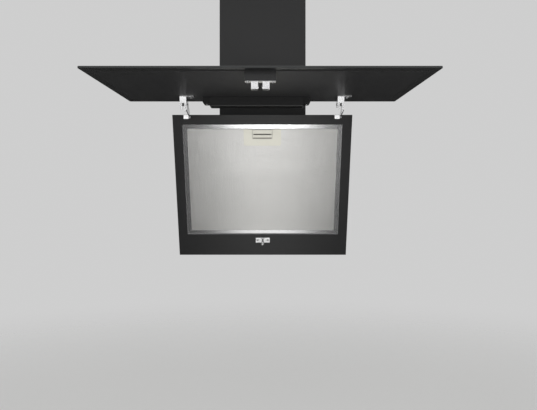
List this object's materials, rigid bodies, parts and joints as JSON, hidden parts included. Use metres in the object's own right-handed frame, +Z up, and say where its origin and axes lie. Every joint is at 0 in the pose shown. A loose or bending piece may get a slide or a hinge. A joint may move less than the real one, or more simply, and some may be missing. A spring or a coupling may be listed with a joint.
{
  "type": "wall mount range hood",
  "caption": "Inclined wall hood with a flip-up black glass front on two hinges, a framed grease filter with a latch, a roller catch, and a chimney that slides up over a duct collar.",
  "frame": {"origin": "middle of the four wall holes, on the wall plane", "axes": "+X to the right seen from the front, +Y into the wall, +Z up"},
  "size_m": [0.898, 0.8319, 0.972],
  "materials": {
    "black_paint": "satin black powder coat",
    "black_glass": "black-backed toughened glass, polished",
    "stainless": "brushed stainless steel",
    "warm_aluminium": "satin anodised, warm tone",
    "bright_steel": "bright nickel plating",
    "zinc_sheet": "zinc-coated sheet",
    "black_plastic": "fine grained black",
    "grey_plastic": "light grey",
    "board": "green circuit board",
    "rubber": "black rubber",
    "lens": "frosted"
  },
  "bodies": {
    "hood": {"body_casing": "black_paint", "back_panel": "zinc_sheet", "front_frame": "black_paint", "filter_surround": "stainless", "filter_face": "stainless", "filter_frame": "stainless", "filter_mesh": "warm_aluminium", "filter_spacers": "warm_aluminium", "latch_plate": "warm_aluminium", "hinge_block_left": "bright_steel", "hinge_block_right": "bright_steel", "hinge_pin_left": "bright_steel", "hinge_pin_right": "bright_steel", "hinge_washers": "black_plastic", "hinge_screws": "bright_steel", "striker": "bright_steel", "striker_screws": "bright_steel", "chimney_lower": "black_paint", "duct_collar": "black_plastic", "flap_pin": "bright_steel", "scroll_housing": "zinc_sheet", "scroll_cover": "zinc_sheet", "outlet_adapter": "black_plastic", "blower_standoffs": "zinc_sheet", "motor": "zinc_sheet", "cable_grommet": "rubber", "power_box": "grey_plastic", "power_box_lid": "grey_plastic", "lamp_bezel_left": "stainless", "lamp_bezel_right": "stainless", "lamp_lens_left": "lens", "lamp_lens_right": "lens", "lamp_module_left": "warm_aluminium", "lamp_module_right": "warm_aluminium"},
    "front_panel": {"glass_panel": "black_glass", "panel_backing": "black_paint", "hinge_arm_left": "bright_steel", "hinge_arm_right": "bright_steel", "arm_screws": "bright_steel", "catch_bracket": "black_paint", "catch_housing": "bright_steel", "catch_pins": "bright_steel", "catch_screws": "bright_steel", "control_base": "black_plastic", "control_cover": "black_plastic", "control_board": "board", "control_screws": "bright_steel"},
    "catch_arm_left": {"catch_arm_left": "bright_steel"},
    "catch_arm_right": {"catch_arm_right": "bright_steel"},
    "catch_roller_left": {"catch_roller_left": "black_plastic"},
    "catch_roller_right": {"catch_roller_right": "black_plastic"},
    "latch": {"filter_latch": "warm_aluminium"},
    "fan": {"fan_wheel": "black_plastic", "motor_shaft": "bright_steel"},
    "flap_left": {"flap_left": "black_plastic"},
    "flap_right": {"flap_right": "black_plastic"},
    "upper_cover": {"chimney_upper": "black_paint", "chimney_bracket": "zinc_sheet"}
  },
  "joints": [
    {"name": "panel_swing", "type": "hinge", "parent": "hood", "child": "front_panel", "pos_m": [0, -0.34677, 0.23184], "axis": [1, 0, 0], "range_deg": [0, 106.8]},
    {"name": "catch_left", "type": "hinge", "parent": "front_panel", "child": "catch_arm_left", "pos_m": [-0.014, -0.79012, 0.24687], "axis": [0, 0.9996, 0.0279], "range_deg": [0, 12], "stiffness_Nm_per_rad": 0.05},
    {"name": "catch_right", "type": "hinge", "parent": "front_panel", "child": "catch_arm_right", "pos_m": [0.014, -0.79012, 0.24687], "axis": [0, -0.9996, -0.0279], "range_deg": [0, 12], "stiffness_Nm_per_rad": 0.05},
    {"name": "roller_left", "type": "hinge", "parent": "catch_arm_left", "child": "catch_roller_left", "pos_m": [-0.007, -0.7898, 0.23537], "axis": [0, 0.9996, 0.0279], "continuous": true},
    {"name": "roller_right", "type": "hinge", "parent": "catch_arm_right", "child": "catch_roller_right", "pos_m": [0.007, -0.7898, 0.23537], "axis": [0, 0.9996, 0.0279], "continuous": true},
    {"name": "latch_slide", "type": "slide", "parent": "hood", "child": "latch", "axis": [0, 0.3162, -0.9487], "range_m": [0, 0.005], "stiffness_N_per_m": 600, "springref_m": -0.005},
    {"name": "fan_spin", "type": "hinge", "parent": "hood", "child": "fan", "pos_m": [-0.075, -0.1, 0.035], "axis": [0, -1, 0], "continuous": true},
    {"name": "flap_left_swing", "type": "hinge", "parent": "hood", "child": "flap_left", "pos_m": [0, -0.10075, 0.256], "axis": [0, 1, 0], "range_deg": [0, 80]},
    {"name": "flap_right_swing", "type": "hinge", "parent": "hood", "child": "flap_right", "pos_m": [0, -0.10075, 0.256], "axis": [0, -1, 0], "range_deg": [0, 80]},
    {"name": "cover_slide", "type": "slide", "parent": "hood", "child": "upper_cover", "axis": [0, 0, 1], "range_m": [0, 0.27]}
  ],
  "couplings": [
    {"joint": "catch_right", "follows": "catch_left", "ratio": 1}
  ]
}
